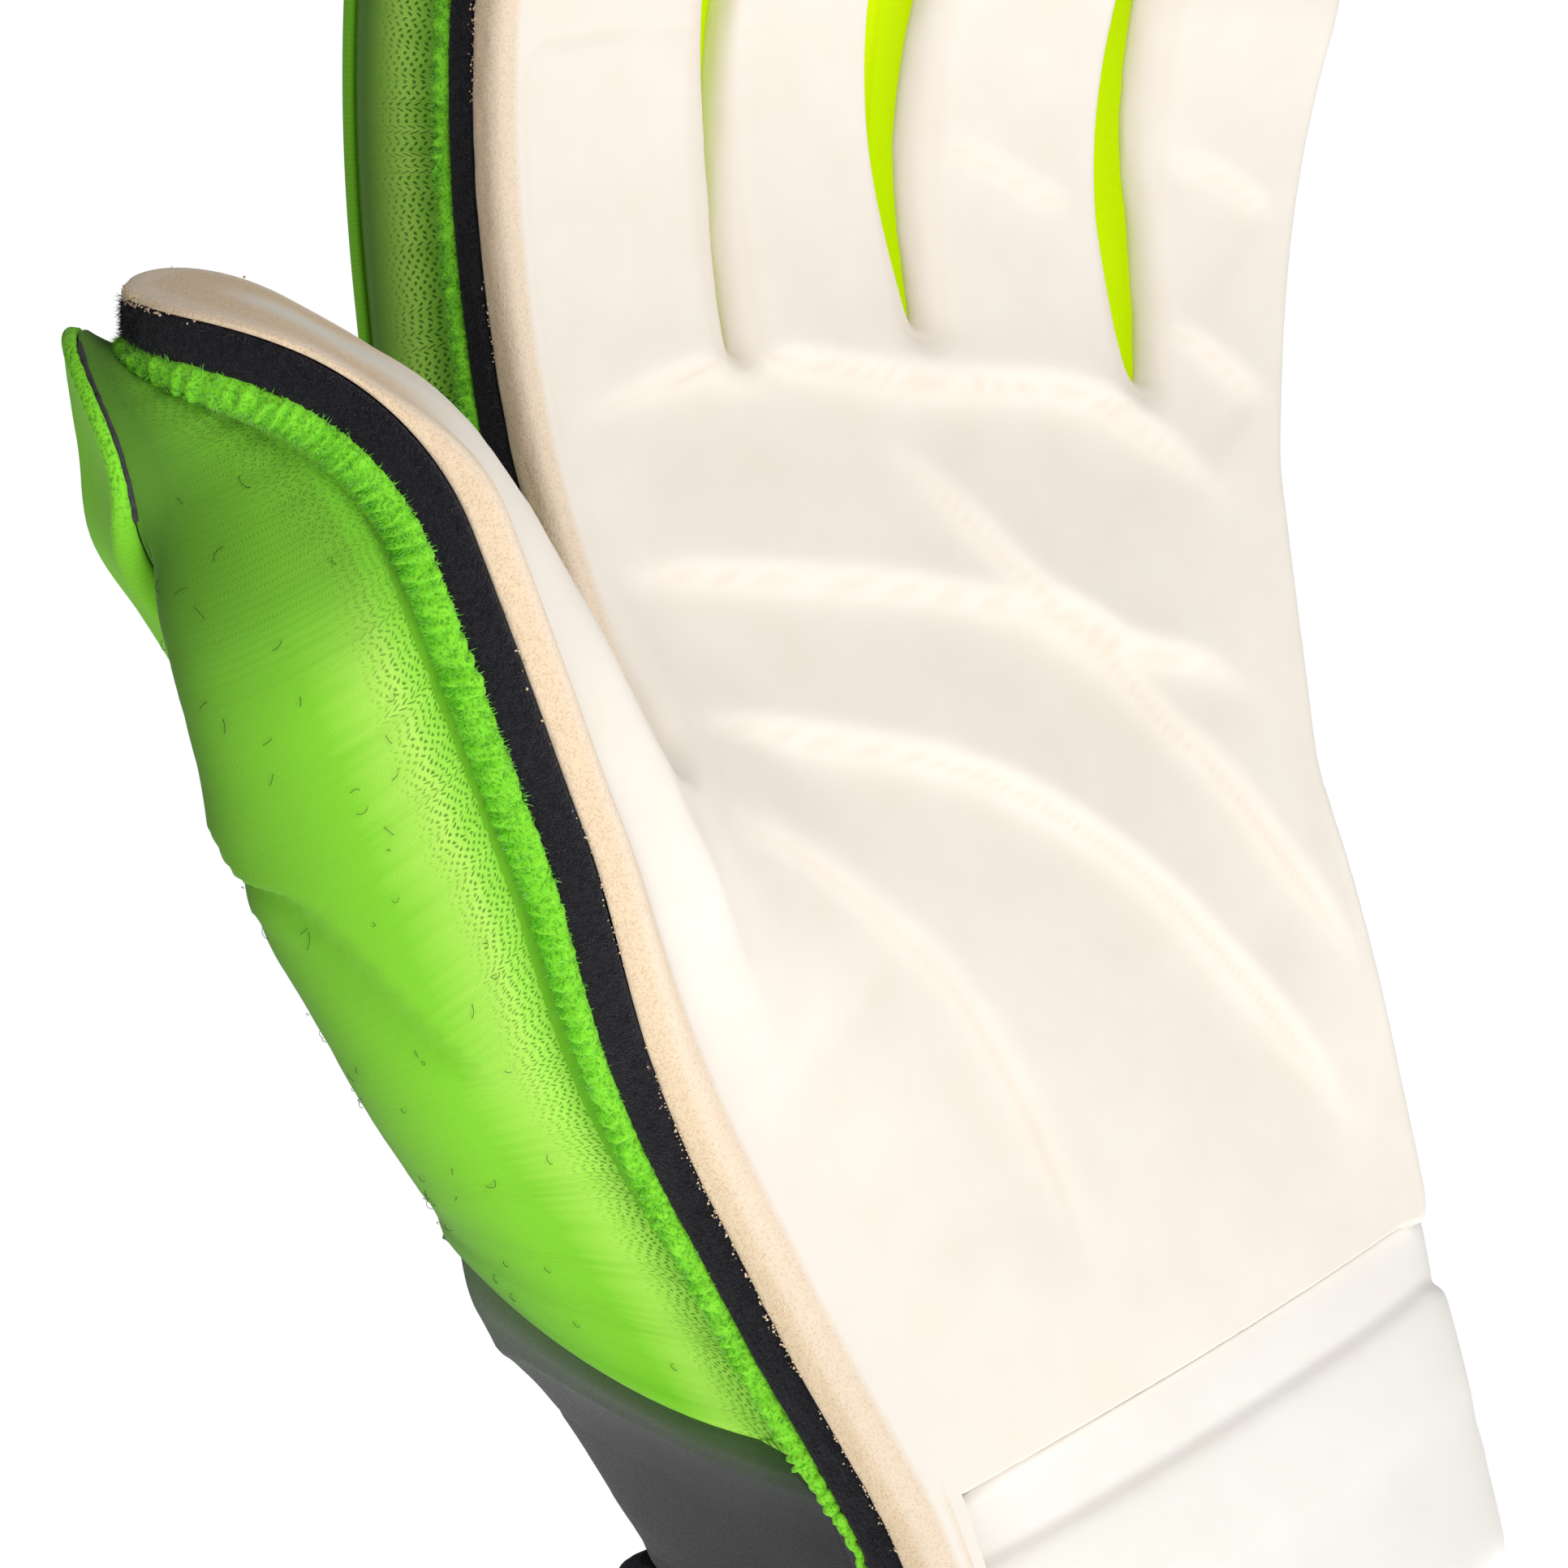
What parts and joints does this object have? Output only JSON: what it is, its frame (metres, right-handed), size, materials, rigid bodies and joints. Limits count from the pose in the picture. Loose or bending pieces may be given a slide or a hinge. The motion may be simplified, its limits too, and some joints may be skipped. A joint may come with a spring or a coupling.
{
  "type": "goalkeeper glove",
  "caption": "Left-hand soccer goalkeeper glove: smooth latex palm, black foam edge, stretch-knit back and side walls with raw seams, dark elastic cuff and white wrist strap.",
  "frame": {"origin": "centre of the cuff's mouth, where the wrist goes in", "axes": "+Z along the forearm to the fingertips; the palm faces -Y and the back of the hand +Y; +X to the little finger, the thumb lies to -X and folds toward -Y"},
  "size_m": [0.1789, 0.1002, 0.2603],
  "materials": {
    "latex": "matte foam latex, suede-like at the cut edge",
    "foam": "matte, fuzzy cut edge",
    "knit": "bright green stretch knit",
    "wrist_knit": "dark grey smooth knit",
    "cuff_knit": "near-black elastic rib",
    "strap": "smooth white latex"
  },
  "bodies": {
    "root": {"palm_latex": "latex", "palm_foam": "foam", "back_panel": "knit", "thumb_outer_gusset": "knit", "thumb_index_gusset": "knit", "index_middle_gusset": "knit", "middle_ring_gusset": "knit", "ring_little_gusset": "knit", "little_outer_gusset": "knit", "wrist_gusset": "wrist_knit", "cuff": "cuff_knit", "wrist_strap": "strap", "strap_closure": "strap"}
  },
  "joints": []
}
